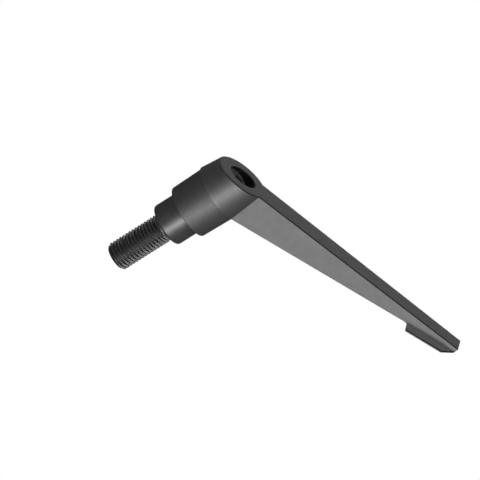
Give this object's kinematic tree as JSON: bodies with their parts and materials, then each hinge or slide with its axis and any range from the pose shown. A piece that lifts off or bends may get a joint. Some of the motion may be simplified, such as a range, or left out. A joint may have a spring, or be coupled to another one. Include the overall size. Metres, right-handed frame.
{
  "type": "adjustable clamping lever",
  "caption": "Clamping lever on a threaded stud: a sprung hub turns freely, and meshes with the serrated stud head when pressed down.",
  "frame": {"origin": "on the axis of the stud, in the seating face under the head of the threaded insert", "axes": "+Z along the stud's axis, away from its threaded end and towards the lever; +X along the arm"},
  "size_m": [0.1579, 0.0324, 0.1239],
  "materials": {
    "blackened_steel": "turned and blackened",
    "spring_wire": "bright drawn wire",
    "coated_casting": "fine matt black coating",
    "black_oxide": "black oxide"
  },
  "bodies": {
    "insert": {"threaded_insert": "blackened_steel", "retaining_screw": "black_oxide"},
    "spring": {"return_spring": "spring_wire"},
    "lever": {"lever_handle": "coated_casting"}
  },
  "joints": [
    {"name": "lever_press", "type": "slide", "parent": "insert", "child": "spring", "axis": [0, 0, 1], "range_m": [-0.0024, 0], "stiffness_N_per_m": 500, "springref_m": 0.0088, "deforming": ["return_spring"]},
    {"name": "lever_turn", "type": "hinge", "parent": "spring", "child": "lever", "pos_m": [0, 0, 0.032], "axis": [0, 0, 1], "continuous": true}
  ]
}
